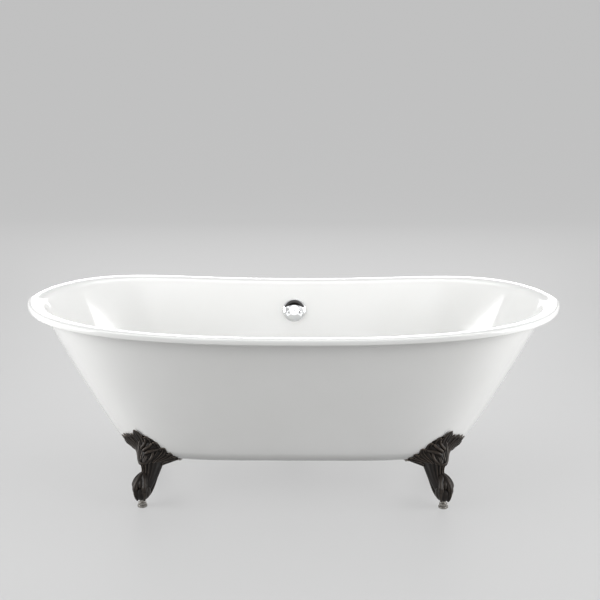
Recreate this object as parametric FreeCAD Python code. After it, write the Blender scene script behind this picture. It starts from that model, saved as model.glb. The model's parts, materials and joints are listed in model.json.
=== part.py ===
"""A double-ended clawfoot bathtub: an enamelled cast-iron shell with a rolled rim that dips at
mid-length, four cast feet with leaf-shaped back plates and ball-and-claw paws, screw levellers,
and an exposed waste and overflow set with a push-to-close stopper.

Frame: millimetres, origin on the floor under the middle of the tub, +X along the tub, +Y towards
the overflow side (the back), +Z up.
"""

import FreeCAD, Part
import math
import os

V = FreeCAD.Vector
Rotation = FreeCAD.Rotation

# ------------------------------------------------------------------ driving dimensions

# Shell, outside sizes
rim_length = 1720.0
rim_width = 784.0
rim_height = 615.0              # rim top above the floor at mid-length
rim_rise = 26.0                 # how much higher the rim is at the two ends
underside_height = 142.0        # flat underside above the floor
end_lean = 28.3                 # end walls, degrees from vertical
side_lean = 18.3                # long walls, degrees from vertical
end_bow = 9.7                   # how far the end walls bulge at half height
wall = 7.0                      # iron and enamel together
outer_corner = 78.0             # size of the rounding between wall and underside
inner_corner = 96.0             # the same inside the bath, where it is softer

# Rolled rim
rim_reach = 51.0                # rim edge beyond the wall, measured at rim_drop below the top
rim_drop = 34.0
rim_edge = 17.7                 # height of the curled outer edge
throat = 24.0                   # size of the rounding from the rim's top into the bath

# Plan outline |x|^side_power + |y|^end_power = 1, in half lengths and half widths
side_power = 5.08
end_power = 1.62
rise_power = 1.23               # keeps the dip flat for longer at mid-length
plan_points = 48

# Feet
foot_x = 484.0                  # leveller axis from mid-length
foot_y = 205.0                  # leveller axis from the centre line
foot_turn = 48.0                # degrees that a foot points away from the long axis
seat_gap = 0.3                  # between a foot and the shell's curved wall
leaf_thickness = 7.0
leaf_rib = 4.5                  # how far each lobe's middle rib stands out of it
leaf_root_height = 152.0        # where the lobes fan out
leaf_root_side = -6.0           # the same, sideways from the leveller axis
leaf_root_spread = 0.12         # share of its tip's distance by which a lobe's root moves
leaf_root_radius = 16.0
leaf_rib_root = 6.0             # half width of a lobe's rib at its root and at its tip
leaf_rib_tip = 3.5
paw_underside = 24.0
ball_radius = 28.0
ball_height = 51.0

# Foot fastening
lug_reach = 165.0               # stud axis behind the leveller axis
lug_root = 60.0                 # where the lug grows out of the leg, behind the leveller axis
lug_thickness = 10.0
lug_width = 46.0
boss_radius = 19.0
boss_height = 9.0
stud_radius = 5.0
stud_gap = 0.6                  # radial room in the lug
washer_radius = 12.0
washer_thickness = 2.0
washer_gap = 0.4                # radial room round the stud
stud_tail = 4.0                 # stud left below the nut
stud_bite = 2.0                 # stud screwed beyond the boss, into the shell
foot_nut_flats = 17.0
foot_nut_height = 8.0

# Levellers
pad_radius = 15.5
pad_height = 8.0
leveller_flats = 24.0
leveller_hex_height = 9.0
leveller_stem_radius = 6.0
leveller_stem_depth = 28.0      # thread engaged in the paw
pad_neck_radius = 5.0
pad_neck_depth = 5.0
pad_bevel = 1.2
pad_face_gap = 0.3              # between the pad and the hexagon
stem_end_gap = 6.0              # depth of the paw's hole beyond the stem
running_gap = 0.08              # radial room round a turning or sliding stem

# Overflow
overflow_drop = 101.0           # centre of the opening below the rim, on the back wall
overflow_hole_radius = 28.0
faceplate_radius = 40.5
faceplate_depth = 11.0
faceplate_metal = 2.0
faceplate_rim = 4.5             # ring left round the crescent opening
faceplate_seat = 0.15           # room between the plate's edge and the enamel
crescent_foot = 17.8            # lower edge of the crescent above the plate's centre
crescent_radius = 65.0
overflow_screw_spacing = 38.0
overflow_screw_drop = 6.5       # screws below the plate's centre
overflow_screw_radius = 2.5
overflow_screw_head_radius = 4.6
overflow_screw_head_height = 2.6
overflow_screw_gap = 0.3        # radial room in the plate
screw_slot_width = 1.1
screw_slot_depth = 1.2
overflow_flange_radius = 36.0
overflow_flange_thickness = 6.0
overflow_bore_radius = 14.5
elbow_bend = 28.0
elbow_inlet = 8.0               # straight run behind the flange

# Tubes and slip joints of the waste set
tube_radius = 19.05
tube_wall = 1.6
socket_wall = 3.6
socket_depth = 22.0
tube_gap = 0.1                  # radial room of a tube in its socket
slip_nut_flats = 54.0
slip_nut_grip = 10.0            # length screwed over the socket
slip_washer_length = 4.0
slip_nut_collar = 4.0
slip_gap = 0.2                  # between a slip washer and what presses on it
tube_end_gap = 1.0              # a tube's end stops short of its socket's floor
waste_axis_height = 108.0       # level tube from the shoe to the tee
tee_reach = 42.0                # from the tee's middle to the mouth of each socket
tee_collar = 18.0               # full-width length of the side socket
tee_branch_step = 1.5           # the branch behind it is this much thinner
tee_branch_choke = 2.0          # the branch's bore is this much narrower than the run's
outlet_end = 18.0               # lower end of the tailpiece above the floor
outlet_length = 28.0            # plain spigot, up to the bead that stops the drain's coupling
outlet_bead = 2.0               # how far the bead stands out of the tube
outlet_bead_length = 4.0

# Drain and stopper
drain_hole_radius = 26.0
drain_flange_radius = 36.0
drain_flange_thickness = 3.0
drain_body_radius = 24.0
drain_body_length = 22.0        # below the bath's floor
drain_bore_radius = 20.0
drain_bar = 4.0                 # thickness of the cross bars
drain_bar_depth = 8.0
drain_bar_bite = 2.0            # how far a bar's ends run into the body
gasket_thickness = 3.0
shoe_flange_radius = 36.0
shoe_flange_thickness = 7.0
shoe_reach = 46.0               # from the drain axis to the mouth of the shoe's outlet
stopper_radius = 30.0
stopper_dome = 6.0
seal_radius = 28.0
seal_thickness = 3.0
stopper_lift = 8.0
post_radius = 3.5
sleeve_radius = 6.5
sleeve_roof = 2.0               # metal between the sleeve's bore and the cap
sleeve_gap = 0.2                # radial room in the seal
stop_gap = 0.5                  # room left at the end of the stopper's travel

# ------------------------------------------------------------------ derived sizes

half_length = rim_length / 2
half_width = rim_width / 2
rim_height_end = rim_height + rim_rise
bath_floor = underside_height + wall
overflow_height = rim_height - overflow_drop
socket_radius = tube_radius + tube_gap + socket_wall
tube_hole = tube_radius + tube_gap
lug_top = underside_height - boss_height
lug_bottom = lug_top - lug_thickness
turn = math.radians(foot_turn)

# ------------------------------------------------------------------ small helpers


def cylinder(radius, low, high, x=0.0, y=0.0):
    """An upright cylinder between two heights."""
    return Part.makeCylinder(radius, high - low, V(x, y, low))


def ring(outer, inner, low, high, x=0.0, y=0.0):
    """An upright tube between two heights."""
    return cylinder(outer, low, high, x, y).cut(cylinder(inner, low - 1, high + 1, x, y))


def hexagon(flats, low, high, x=0.0, y=0.0):
    """An upright hexagonal bar with its corners turned off."""
    corner = flats / 2 / math.cos(math.pi / 6)
    points = []
    for side in range(7):
        angle = side * math.pi / 3
        points.append(V(x + corner * math.cos(angle), y + corner * math.sin(angle), low))
    bar = Part.Face(Part.makePolygon(points)).extrude(V(0, 0, high - low))
    turned = cylinder(corner - 0.3, low, high, x, y)
    rims = [edge for edge in turned.Edges if edge.isClosed() and abs(edge.Length) > 1]
    return bar.common(turned.makeChamfer(0.9 * (corner - flats / 2), rims[:2]))


def nut(flats, bore, low, high, x=0.0, y=0.0):
    return hexagon(flats, low, high, x, y).cut(cylinder(bore, low - 1, high + 1, x, y))


def revolve(points):
    """Turns a closed outline of (radius, height) points round the Z axis."""
    corners = [V(r, 0, z) for r, z in points]
    return Part.Face(Part.makePolygon(corners + corners[:1])).revolve(V(0, 0, 0), V(0, 0, 1), 360)


def moved(shape, position, rotation=Rotation()):
    """A copy of the shape, turned and then moved."""
    copy = shape.copy()
    copy.Placement = FreeCAD.Placement(position, rotation).multiply(copy.Placement)
    return copy


def fused(shapes):
    return shapes[0].fuse(list(shapes[1:])).removeSplitter()


def save(name, *solids):
    """Writes one sub-part. Several solids share its file."""
    pieces = [solid for shape in solids for solid in shape.Solids]
    shape = pieces[0] if len(pieces) == 1 else Part.Compound(pieces)
    print("%-24s valid %-5s solids %2d  volume %12.1f" % (
        name, shape.isValid(), len(shape.Solids), shape.Volume))
    shape.exportStep("parts/%s.step" % name)


# ------------------------------------------------------------------ shell surface


def outline_point(angle):
    """A point of the plan outline, in half lengths and half widths."""
    c, s = math.cos(angle), math.sin(angle)
    low, high = 0.0, 2.0
    for _ in range(50):
        middle = (low + high) / 2
        if abs(middle * c) ** side_power + abs(middle * s) ** end_power > 1:
            high = middle
        else:
            low = middle
    return low * c, low * s


def end_share(x):
    """0 at mid-length and 1 at the two ends: how far a ring has risen to its end height."""
    return (1 - math.cos(math.pi * abs(x) ** rise_power)) / 2


def spline_poles(values):
    """Poles of the closed cubic spline that passes through evenly numbered values."""
    poles = list(values)
    count = len(values)
    for _ in range(60):
        for i in range(count):
            poles[i] = (6 * values[i] - poles[i - 1] - poles[(i + 1) % count]) / 4
    return poles


plan = [outline_point(2 * math.pi * i / plan_points) for i in range(plan_points)]
plan_x = spline_poles([x for x, _ in plan])
plan_y = spline_poles([y for _, y in plan])
plan_rise = spline_poles([end_share(x) for x, _ in plan])


class Section:
    """Half of the shell's cross-section, either lengthwise (the end wall) or across (the long
    wall). Points are (distance from the middle, height)."""

    def __init__(self, half, lean, bow, top):
        self.half = half
        self.top = top
        self.bow = bow
        self.slope = math.tan(math.radians(lean))
        self.stretch = 1 / math.cos(math.radians(lean))
        self.reach = top - rim_drop - underside_height
        self.base = half - rim_reach - self.slope * self.reach

    def outside(self, height, grow=0.0):
        """A point of the outer wall, or of the same wall grown outwards."""
        share = (height - underside_height) / self.reach
        bulge = 4 * self.bow * share * (1 - share)
        straight = self.base + self.slope * (height - underside_height)
        return straight + bulge + grow * self.stretch, height

    def inside(self, height):
        return self.outside(height, -wall)

    def corner(self, size, low, grow):
        """The rounding between the flat underside at the height low and the wall."""
        foot = self.outside(low, grow)[0]
        points = [(foot - share * size, low) for share in (1.0, 0.8, 0.55, 0.3)]
        return points + [self.outside(low + share * size, grow) for share in (0.36, 0.72, 1.1, 1.6)]

    def rim(self):
        """The curled rim, from the wall's outside over the top to the wall's inside."""
        half, top, low = self.half, self.top, self.top - rim_edge
        under = top - wall - 0.8
        hook = half - wall
        points = [self.outside(top - 0.72 * rim_drop), self.outside(top - 0.45 * rim_drop)]
        points += [(self.outside(under)[0] + 5, under), (half - 0.4 * rim_reach, under + 0.3)]
        points += [(hook - 5, under), (hook, under - 1), (hook, low + 3), (hook + 0.5, low)]
        points += [(half - 0.5 * wall, low - 0.7), (half - 0.5, low), (half, low + 3)]
        points += [(half, top - 9), (half, top - 3), (half - 2.5, top - 0.4), (half - 8, top + 0.4)]
        crown = self.inside(top)[0]
        points += [(crown + 1.1 * throat, top + 0.4), (crown + 0.5 * throat, top - 0.6)]
        points += [(self.inside(top - 0.22 * throat)[0] + 1, top - 0.22 * throat)]
        points += [self.inside(top - 0.75 * throat), self.inside(top - 1.6 * throat)]
        return points

    def whole(self):
        points = self.corner(outer_corner, underside_height, 0.0)
        points += [self.outside(underside_height + k * self.reach) for k in (0.5, 0.75, 0.9, 1.0)]
        points += self.rim()
        span = self.top - 1.6 * throat - bath_floor
        points += [self.inside(bath_floor + k * span) for k in (0.82, 0.6)]
        return points + self.corner(inner_corner, bath_floor, -wall)[::-1]

    def lower(self, grow, top):
        """The outer wall grown outwards, from its underside up to a height."""
        points = self.corner(outer_corner, underside_height - grow, grow)
        high = points[-1][1]
        return points + [self.outside(high + k * (top - high), grow) for k in (0.4, 0.8, 1.0)]


end_section = Section(half_length, end_lean, end_bow, rim_height_end)
side_section = Section(half_width, side_lean, 0.0, rim_height)


def ring_surface(end_points, side_points):
    """A closed smooth band through rings: each ring is the plan outline stretched to its
    distance at the ends and at the sides."""
    rows = []
    for i in range(plan_points):
        row = []
        for (a, end_z), (b, side_z) in zip(end_points, side_points):
            row.append(V(a * plan_x[i], b * plan_y[i], side_z + (end_z - side_z) * plan_rise[i]))
        rows.append(row)
    count = len(end_points)
    surface = Part.BSplineSurface()
    surface.buildFromPolesMultsKnots(
        rows,
        [1] * (plan_points + 1), [4] + [1] * (count - 4) + [4],
        list(range(plan_points + 1)), list(range(count - 2)),
        True, False, 3, 3,
    )
    return surface


def capped(surface):
    """The solid between a band's two flat closed edges."""
    band = surface.toShape()
    loops = [edge for edge in band.Edges if edge.isClosed() and not edge.isSeam(band)]
    skin = Part.makeShell([band] + [Part.Face(Part.Wire([edge])) for edge in loops])
    skin.sewShape()
    solid = Part.Solid(skin)
    if solid.Volume < 0:
        solid.reverse()
    return solid


def shell_casting():
    return capped(ring_surface(end_section.whole(), side_section.whole()))


def shell_block(grow, top):
    """The lower part of the shell's outside as a full solid, grown outwards."""
    return capped(ring_surface(end_section.lower(grow, top), side_section.lower(grow, top)))


# ------------------------------------------------------------------ feet


def from_foot(out, side, z=0.0):
    """Shell coordinates of a point given from a leveller's axis: out along the foot's own
    direction, side towards mid-length."""
    x = foot_x + out * math.cos(turn) - side * math.sin(turn)
    y = foot_y + out * math.sin(turn) + side * math.cos(turn)
    return V(x, y, z)


foot_rotation = Rotation(V(0, 0, 1), foot_turn)


def on_foot(shape):
    """Moves a shape from the foot's own frame (+X out, +Y towards mid-length) to the tub."""
    return moved(shape, V(foot_x, foot_y, 0), foot_rotation)


def ellipse(out, z, half_depth, half_side):
    """A level ellipse in the foot's own frame."""
    if half_depth >= half_side:
        curve = Part.Ellipse(V(out, 0, z), half_depth, half_side)
        return Part.Wire([curve.toShape()])
    curve = Part.Ellipse(V(out, half_side, z), V(out + half_depth, 0, z), V(out, 0, z))
    return Part.Wire([curve.toShape()])


def tapered(points):
    """A solid through circles along a bent line. Points are (position, radius)."""
    circles = []
    for i, (position, radius) in enumerate(points):
        before = points[max(i - 1, 0)][0]
        after = points[min(i + 1, len(points) - 1)][0]
        circles.append(Part.Wire([Part.makeCircle(radius, position, after - before)]))
    return Part.makeLoft(circles, True)


def lobe(low, low_radius, high, high_radius):
    """A flat drop-shaped outline in the foot's Y-Z plane: two round ends joined by tangents."""
    run = V(high[0] - low[0], high[1] - low[1], 0)
    angle = math.atan2(run.y, run.x)
    spread = math.acos((low_radius - high_radius) / run.Length)

    def at(centre, radius, turned):
        direction = angle + turned
        return V(0, centre[0] + radius * math.cos(direction), centre[1] + radius * math.sin(direction))

    edges = [
        Part.Arc(at(low, low_radius, spread), at(low, low_radius, math.pi),
                 at(low, low_radius, -spread)).toShape(),
        Part.makeLine(at(low, low_radius, -spread), at(high, high_radius, -spread)),
        Part.Arc(at(high, high_radius, -spread), at(high, high_radius, 0),
                 at(high, high_radius, spread)).toShape(),
        Part.makeLine(at(high, high_radius, spread), at(low, low_radius, spread)),
    ]
    return Part.Face(Part.Wire(edges))


# Tips of the leaf's lobes: distance from the leveller axis towards mid-length, height, roundness
leaf_tips = (
    (-103.0, 172.0, 10.0), (-107.0, 201.0, 11.0), (-84.0, 221.0, 11.0), (-55.0, 230.0, 10.0),
    (-26.0, 249.0, 11.0), (0.0, 230.0, 10.0), (24.0, 210.0, 10.0), (42.0, 184.0, 10.0),
    (58.0, 160.0, 9.0),
)
leaf_top = max(z + radius for _, z, radius in leaf_tips)
carve_room = 40.0               # how far the carving copies of the shell reach past the leaf
fan_behind = 0.6                # share of the lobes' depth that starts behind the leveller axis


def leaf():
    """The leaf-shaped plate that hugs the shell's corner: a fan of lobes, each with a rib."""
    top = leaf_top + carve_room
    hollow = shell_block(seat_gap, top + carve_room)
    plate = shell_block(seat_gap + leaf_thickness, top)
    ribs = shell_block(seat_gap + leaf_thickness + leaf_rib, top)
    lobes = []
    middles = []
    for side, z, radius in leaf_tips:
        root = (leaf_root_side + leaf_root_spread * side, leaf_root_height)
        lobes.append(lobe(root, leaf_root_radius, (side, z), radius))
        middles.append(lobe(root, leaf_rib_root, (side, z), leaf_rib_tip))
    sweep = V(lug_reach, 0, 0)
    behind = V(-fan_behind * lug_reach, 0, 0)

    def fan(faces, layer):
        prisms = [on_foot(moved(face.extrude(sweep), behind)) for face in faces]
        return fused(prisms).common(layer)

    return fan(lobes, plate).fuse(fan(middles, ribs)).cut(hollow)


# Leg sections: height, middle behind the leveller axis, half depth, half width
leg_sections = (
    (50.0, -10.0, 20.0, 17.0), (72.0, -21.0, 26.0, 17.0), (98.0, -35.0, 33.0, 18.0),
    (122.0, -44.0, 41.0, 20.0), (146.0, -49.0, 49.0, 26.0), (172.0, -52.0, 50.0, 37.0),
    (198.0, -54.0, 42.0, 42.0), (222.0, -56.0, 32.0, 40.0),
)

# Talon stations: distance from the ball's axis, height, thickness
talon_stations = (
    (6.0, 108.0, 8.0), (14.0, 99.0, 9.0), (21.5, 89.0, 9.5), (26.0, 77.0, 9.5),
    (27.0, 64.0, 8.5), (26.0, 50.0, 7.5), (23.5, 38.0, 6.0), (19.0, 25.0, 3.0),
)
heel_stations = (
    (76.0, 122.0, 11.0), (66.0, 104.0, 11.5), (56.0, 85.0, 11.5), (47.0, 67.0, 10.5),
    (39.0, 50.0, 9.5), (31.0, 36.0, 7.0), (25.0, 26.0, 3.5),
)
talon_angles = (-68.0, 0.0, 68.0)
root_setback = 9.0              # how far a talon's root is drawn back, from root_low upwards
root_low = 70.0


def talon(stations, angle):
    """One toe, from its knuckle at the ankle down over the ball to the point of its claw. Its
    root is drawn back towards the leg."""
    c, s = math.cos(math.radians(angle)), math.sin(math.radians(angle))
    rise = stations[0][1] - root_low
    points = []
    for distance, z, radius in stations:
        back = 0.0 if angle == 180.0 else root_setback * max(0.0, (z - root_low) / rise)
        points.append((V(distance * c - back, distance * s, z), radius))
    return tapered(points)


def foot():
    """One foot casting: leaf, leg, paw with ball, and the lug that the stud holds."""
    hollow = shell_block(seat_gap, leaf_top + carve_room)
    leg = Part.makeLoft([ellipse(out, z, depth, side) for z, out, depth, side in leg_sections], True)
    paw = [Part.makeSphere(ball_radius, V(0, 0, ball_height))]
    paw += [talon(talon_stations, angle) for angle in talon_angles]
    paw += [talon(heel_stations, 180.0)]
    body = leg
    for piece in paw:
        body = body.fuse(piece)
    lug = Part.makeBox(lug_reach - lug_root, lug_width, lug_thickness,
                       V(-lug_reach, -lug_width / 2, lug_bottom))
    lug = lug.fuse(cylinder(lug_width / 2, lug_bottom, lug_top, -lug_reach))
    body = body.fuse(lug)
    body = body.cut(cylinder(lug_reach, 0, paw_underside))
    stem_hole = leveller_stem_radius + running_gap
    body = body.cut(cylinder(stem_hole, 0, paw_underside + leveller_stem_depth + stem_end_gap))
    body = body.cut(cylinder(stud_radius + stud_gap, lug_bottom - 5, lug_top + 5, -lug_reach))
    return on_foot(body).cut(hollow).fuse(leaf())


def leveller_screw():
    """A hexagon with a stem above it, screwed into the paw, and a neck that turns in the pad."""
    low = pad_height + pad_face_gap
    high = low + leveller_hex_height
    screw = hexagon(leveller_flats, low, high)
    screw = screw.fuse(cylinder(pad_neck_radius, low - pad_neck_depth, high))
    screw = screw.fuse(cylinder(leveller_stem_radius, low, paw_underside + leveller_stem_depth))
    return on_foot(screw)


def leveller_pad():
    pad = cylinder(pad_radius, 0, pad_height)
    rims = [edge for edge in pad.Edges if edge.isClosed() and edge.Length > 1]
    pad = pad.makeChamfer(pad_bevel, rims[:2])
    socket = cylinder(pad_neck_radius + running_gap, pad_height - pad_neck_depth, 2 * pad_height)
    return on_foot(pad.cut(socket))


def foot_stud():
    stud = from_foot(-lug_reach, 0)
    low = lug_bottom - washer_thickness - foot_nut_height - stud_tail
    return cylinder(stud_radius, low, underside_height + stud_bite, stud.x, stud.y)


def foot_washer():
    stud = from_foot(-lug_reach, 0)
    return ring(washer_radius, stud_radius + washer_gap, lug_bottom - washer_thickness, lug_bottom,
                stud.x, stud.y)


def foot_nut():
    stud = from_foot(-lug_reach, 0)
    high = lug_bottom - washer_thickness
    return nut(foot_nut_flats, stud_radius, high - foot_nut_height, high, stud.x, stud.y)


corners = (
    ("back_right", False, False), ("back_left", True, False),
    ("front_right", False, True), ("front_left", True, True),
)


def at_corner(shape, flip_x, flip_y):
    """The mirrored copy of a back right piece for another corner."""
    if flip_x:
        shape = shape.mirror(V(0, 0, 0), V(1, 0, 0))
    if flip_y:
        shape = shape.mirror(V(0, 0, 0), V(0, 1, 0))
    return shape


# ------------------------------------------------------------------ overflow

overflow_outside = V(0, side_section.outside(overflow_height)[0], overflow_height)
overflow_inside = overflow_outside - V(
    0, wall * math.cos(math.radians(side_lean)), -wall * math.sin(math.radians(side_lean)))
outward_turn = Rotation(V(1, 0, 0), -(90 + side_lean))
inward_turn = Rotation(V(1, 0, 0), 90 - side_lean)
outward = outward_turn.multVec(V(0, 0, 1))
elbow_corner_angle = math.radians(90 - side_lean)
elbow_setback = elbow_bend * math.tan(elbow_corner_angle / 2)
elbow_corner = overflow_outside + outward * (
    gasket_thickness + overflow_flange_thickness + elbow_inlet + elbow_setback)
riser_y = elbow_corner.y
elbow_mouth = elbow_corner.z - elbow_setback - socket_depth


def on_outside(shape):
    """Moves a shape whose +Z points away from the bath to the overflow on the outer wall."""
    return moved(shape, overflow_outside, outward_turn)


def on_inside(shape):
    """Moves a shape whose +Z points into the bath and +Y up to the overflow on the inner wall."""
    return moved(shape, overflow_inside, inward_turn)


def faceplate():
    """A round domed cup with a crescent opening near its top and two screw holes."""
    edge, metal, depth = faceplate_radius, faceplate_metal, faceplate_depth
    low = faceplate_seat
    outline = [
        (0, depth), (0.45 * edge, depth - 0.5), (0.8 * edge, depth - 2.5), (edge - 2, depth - 5),
        (edge, depth - 7.5), (edge, low), (edge - metal, low), (edge - metal, depth - 8),
        (edge - metal - 2, depth - 6 - 0.5 * metal), (0.78 * edge, depth - 2.7 - metal),
        (0.44 * edge, depth - 0.5 - metal), (0, depth - metal),
    ]
    plate = revolve(outline)
    inner = edge - faceplate_rim
    crescent = cylinder(inner, metal, depth + 5)
    crescent = crescent.cut(
        cylinder(crescent_radius, 0, depth + 9, 0, crescent_foot - crescent_radius))
    plate = plate.cut(crescent)
    for side in (-0.5, 0.5):
        plate = plate.cut(cylinder(overflow_screw_radius + overflow_screw_gap, -1, depth + 5,
                                   side * overflow_screw_spacing, -overflow_screw_drop))
    return on_inside(plate)


def overflow_screw(side):
    """A screw with a slotted round head, from the plate to the flange behind the wall."""
    head_foot = faceplate_depth - 0.4
    reach = wall + gasket_thickness + overflow_flange_thickness
    screw = cylinder(overflow_screw_radius, -reach + 0.5, head_foot)
    head = cylinder(overflow_screw_head_radius, head_foot, head_foot + overflow_screw_head_height)
    rims = [edge for edge in head.Edges if edge.isClosed() and edge.Length > 1]
    top_rim = max(rims, key=lambda edge: edge.CenterOfMass.z)
    head = head.makeFillet(0.4 * overflow_screw_head_height, [top_rim])
    slot_floor = head_foot + overflow_screw_head_height - screw_slot_depth
    slot = Part.makeBox(4 * overflow_screw_head_radius, screw_slot_width, 2 * screw_slot_depth,
                        V(-2 * overflow_screw_head_radius, -screw_slot_width / 2, slot_floor))
    screw = screw.fuse(head.cut(slot))
    return on_inside(moved(screw, V(side * overflow_screw_spacing, -overflow_screw_drop, 0)))


def overflow_gasket():
    seat = ring(overflow_flange_radius, overflow_hole_radius + 1, tube_gap, gasket_thickness)
    return on_outside(seat)


def bend_path(start, corner, end, radius):
    """A line, a tangent arc and a line through a corner."""
    first = (start - corner).normalize()
    second = (end - corner).normalize()
    angle = first.getAngle(second)
    setback = radius / math.tan(angle / 2)
    middle = (first + second).normalize()
    centre = corner + middle * (radius / math.sin(angle / 2))
    arc = Part.Arc(corner + first * setback, centre - middle * radius, corner + second * setback)
    edges = [Part.makeLine(start, corner + first * setback), arc.toShape(),
             Part.makeLine(corner + second * setback, end)]
    return Part.Wire(edges)


def bent_bar(path, radius, start, direction):
    return path.makePipeShell([Part.Wire([Part.makeCircle(radius, start, direction)])], True, True)


def overflow_elbow():
    """A flanged elbow behind the wall that turns down into the riser's socket."""
    face = overflow_outside + outward * gasket_thickness
    low = V(0, riser_y, elbow_mouth)
    outer_path = bend_path(face, elbow_corner, low, elbow_bend)
    outer = bent_bar(outer_path, overflow_bore_radius + socket_wall, face, outward)
    flange = on_outside(cylinder(overflow_flange_radius, gasket_thickness,
                                 gasket_thickness + overflow_flange_thickness))
    socket = cylinder(socket_radius, elbow_mouth, elbow_mouth + socket_depth + 4, 0, riser_y)
    body = outer.fuse(flange).fuse(socket)
    over = V(0, riser_y, elbow_mouth - 5)
    inner_start = face - outward * 5
    inner_path = bend_path(inner_start, elbow_corner, over, elbow_bend)
    body = body.cut(bent_bar(inner_path, overflow_bore_radius, inner_start, outward))
    body = body.cut(cylinder(tube_hole, elbow_mouth - 5, elbow_mouth + socket_depth, 0, riser_y))
    for side in (-0.5, 0.5):
        hole = cylinder(overflow_screw_radius, 0, 60, side * overflow_screw_spacing, 0)
        body = body.cut(on_outside(moved(hole, V(0, overflow_screw_drop, 0))))
    return body


# ------------------------------------------------------------------ waste tubes

tee_top = waste_axis_height + tee_reach
tee_side = riser_y - tee_reach
tee_bottom = waste_axis_height - tee_reach
along_y = Rotation(V(1, 0, 0), -90)


def on_tee_side(shape):
    """Moves a shape whose +Z points into the side socket to that socket's mouth."""
    return moved(shape, V(0, tee_side, waste_axis_height), along_y)


def tube(length):
    """A plain tube standing on its end."""
    return ring(tube_radius, tube_radius - tube_wall, 0, length)


def riser():
    low = tee_top - socket_depth + tube_end_gap
    high = elbow_mouth + socket_depth - tube_end_gap
    return moved(tube(high - low), V(0, riser_y, low))


def shoe_tube():
    low = shoe_reach - socket_depth + tube_end_gap
    high = tee_side + socket_depth - tube_end_gap
    return moved(tube(high - low), V(0, low, waste_axis_height), along_y)


def tailpiece():
    """The outlet tube, with a rolled bead above its plain end."""
    high = tee_bottom + socket_depth - tube_end_gap
    bead_low = outlet_end + outlet_length
    bead = ring(tube_radius + outlet_bead, tube_radius - tube_wall, bead_low,
                bead_low + outlet_bead_length, 0, riser_y)
    return moved(tube(high - outlet_end), V(0, riser_y, outlet_end)).fuse(bead)


def tee():
    """The junction under the riser: sockets up and towards the drain, and one down."""
    bore = tube_radius - tube_wall
    branch = cylinder(socket_radius - tee_branch_step, 0, tee_reach)
    branch = branch.fuse(cylinder(socket_radius, 0, tee_collar))
    body = cylinder(socket_radius, tee_bottom, tee_top, 0, riser_y)
    body = body.fuse(on_tee_side(branch))
    for radius, low, high in (
        (bore, tee_bottom, tee_top),
        (tube_hole, tee_top - socket_depth, tee_top),
        (tube_hole, tee_bottom, tee_bottom + socket_depth),
    ):
        body = body.cut(cylinder(radius, low, high, 0, riser_y))
    inlet = cylinder(bore - tee_branch_choke, 0, tee_reach)
    return body.cut(on_tee_side(inlet.fuse(cylinder(tube_hole, 0, socket_depth))))


def slip_nut():
    """A nut over a socket's end at z = 0, closed down onto the tube that leaves along +Z."""
    shoulder = slip_washer_length + slip_gap
    high = shoulder + slip_nut_collar
    body = hexagon(slip_nut_flats, -slip_nut_grip, high)
    body = body.cut(cylinder(socket_radius + tube_gap, -slip_nut_grip - 1, shoulder))
    return body.cut(cylinder(tube_hole, 0, high + 1))


def slip_washer():
    return ring(socket_radius - slip_gap, tube_radius + tube_gap / 2, 0, slip_washer_length)


down = Rotation(V(1, 0, 0), 180)
slip_places = (
    (V(0, riser_y, elbow_mouth), down),
    (V(0, riser_y, tee_top), Rotation()),
    (V(0, riser_y, tee_bottom), down),
    (V(0, tee_side, waste_axis_height), Rotation(V(1, 0, 0), 90)),
    (V(0, shoe_reach, waste_axis_height), along_y),
)


# ------------------------------------------------------------------ drain and stopper

shoe_top = underside_height - gasket_thickness
drain_top = bath_floor + drain_flange_thickness
drain_low = bath_floor - drain_body_length
hub_top = drain_low + drain_bar_depth
cap_foot = drain_top + stopper_lift + seal_thickness
post_top = cap_foot - sleeve_roof - stopper_lift - stop_gap


def drain_flange():
    """The flanged body screwed down through the floor, with cross bars for the stopper's post."""
    flange = cylinder(drain_flange_radius, bath_floor, drain_top)
    rims = [edge for edge in flange.Edges if edge.isClosed() and edge.Length > 1]
    flange = flange.makeFillet(0.6 * drain_flange_thickness,
                               [max(rims, key=lambda edge: edge.CenterOfMass.z)])
    body = flange.fuse(cylinder(drain_body_radius, drain_low, bath_floor))
    body = body.cut(cylinder(drain_bore_radius, drain_low - 1, drain_top + 1))
    bar_reach = drain_bore_radius + drain_bar_bite
    bar = Part.makeBox(2 * bar_reach, drain_bar, drain_bar_depth,
                       V(-bar_reach, -drain_bar / 2, drain_low))
    body = body.fuse(bar).fuse(moved(bar, V(0, 0, 0), Rotation(V(0, 0, 1), 90)))
    body = body.fuse(cylinder(2 * post_radius, drain_low, hub_top))
    return body.cut(cylinder(post_radius, drain_low - 1, hub_top + 1))


def drain_gasket():
    return ring(shoe_flange_radius - 1, drain_body_radius + slip_gap, shoe_top, underside_height)


def drain_shoe():
    """The elbow under the drain: a cup with a flange, and a socket towards the tee."""
    low = waste_axis_height - socket_radius
    thread = drain_body_radius + tube_gap
    body = cylinder(thread + socket_wall, low, shoe_top)
    body = body.fuse(cylinder(shoe_flange_radius, shoe_top - shoe_flange_thickness, shoe_top))
    outlet = moved(cylinder(socket_radius, 0, shoe_reach), V(0, 0, waste_axis_height), along_y)
    body = body.fuse(outlet)
    body = body.cut(cylinder(thread, drain_low - 1, shoe_top + 1))
    body = body.cut(cylinder(drain_bore_radius, low + socket_wall, shoe_top))
    bore = moved(cylinder(tube_radius - tube_wall, 0, shoe_reach + 5),
                 V(0, 0, waste_axis_height), along_y)
    mouth = moved(cylinder(tube_hole, 0, socket_depth + 5),
                  V(0, shoe_reach - socket_depth, waste_axis_height), along_y)
    return body.cut(bore).cut(mouth)


def stopper_post():
    return cylinder(post_radius, drain_low, post_top)


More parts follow.
